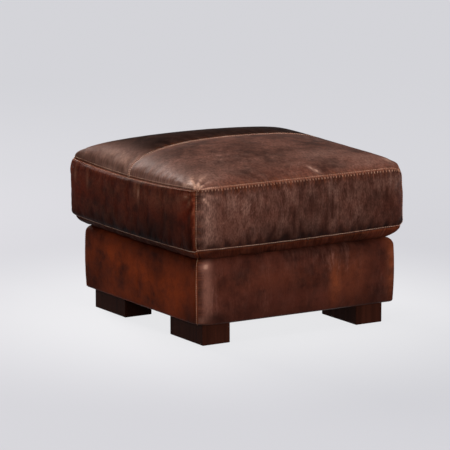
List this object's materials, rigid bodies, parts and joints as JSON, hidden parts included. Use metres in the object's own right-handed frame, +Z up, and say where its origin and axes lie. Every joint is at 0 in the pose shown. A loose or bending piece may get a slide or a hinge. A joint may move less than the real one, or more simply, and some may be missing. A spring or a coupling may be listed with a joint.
{
  "type": "leather ottoman",
  "caption": "Square leather ottoman with an attached crowned box cushion on a padded box base and four dark wooden block legs.",
  "frame": {"origin": "on the floor, below the middle of the ottoman", "axes": "+Z up; +Y towards the back (the slightly longer horizontal extent); the front face with the wider view looks along -Y"},
  "size_m": [0.626, 0.636, 0.4773],
  "materials": {
    "cushion_leather": "satin",
    "base_leather": "satin",
    "leg_wood": "satin",
    "frame_wood": "matte",
    "plywood": "matte",
    "foam": "matte",
    "polyester_wrap": "matte",
    "deck_cloth": "matte",
    "webbing": "matte",
    "card": "matte",
    "dust_cover": "matte",
    "steel": "satin"
  },
  "bodies": {
    "root": {"base_panel_back": "base_leather", "base_panel_front": "base_leather", "base_panel_left": "base_leather", "base_panel_right": "base_leather", "base_wadding_back": "polyester_wrap", "base_wadding_front": "polyester_wrap", "base_wadding_left": "polyester_wrap", "base_wadding_right": "polyester_wrap", "corner_post_back_left": "frame_wood", "corner_post_back_right": "frame_wood", "corner_post_front_left": "frame_wood", "corner_post_front_right": "frame_wood", "cushion_boxing_back": "cushion_leather", "cushion_boxing_front": "cushion_leather", "cushion_boxing_left": "cushion_leather", "cushion_boxing_right": "cushion_leather", "cushion_foam": "foam", "cushion_top_panel_front": "cushion_leather", "cushion_top_panel_rear": "cushion_leather", "cushion_under_band_back": "cushion_leather", "cushion_under_band_front_left": "cushion_leather", "cushion_under_band_front_right": "cushion_leather", "cushion_under_band_left": "cushion_leather", "cushion_under_band_right": "cushion_leather", "cushion_wrap": "polyester_wrap", "deck_cloth": "deck_cloth", "deck_staples": "steel", "dust_cover": "dust_cover", "frame_rail_back": "frame_wood", "frame_rail_front": "frame_wood", "frame_rail_left": "frame_wood", "frame_rail_right": "frame_wood", "frame_staples": "steel", "frame_stretcher": "frame_wood", "leg_back_left": "leg_wood", "leg_back_right": "leg_wood", "leg_front_left": "leg_wood", "leg_front_right": "leg_wood", "leg_hanger_bolts": "steel", "leg_plate_back_left": "plywood", "leg_plate_back_right": "plywood", "leg_plate_front_left": "plywood", "leg_plate_front_right": "plywood", "leg_tee_nuts": "steel", "tack_strip_back": "card", "tack_strip_front": "card", "tack_strip_left": "card", "tack_strip_right": "card", "webbing_front_to_back_1": "webbing", "webbing_front_to_back_2": "webbing", "webbing_front_to_back_3": "webbing", "webbing_front_to_back_4": "webbing", "webbing_side_to_side_1": "webbing", "webbing_side_to_side_2": "webbing", "webbing_side_to_side_3": "webbing", "webbing_side_to_side_4": "webbing", "webbing_staples": "steel"}
  },
  "joints": []
}
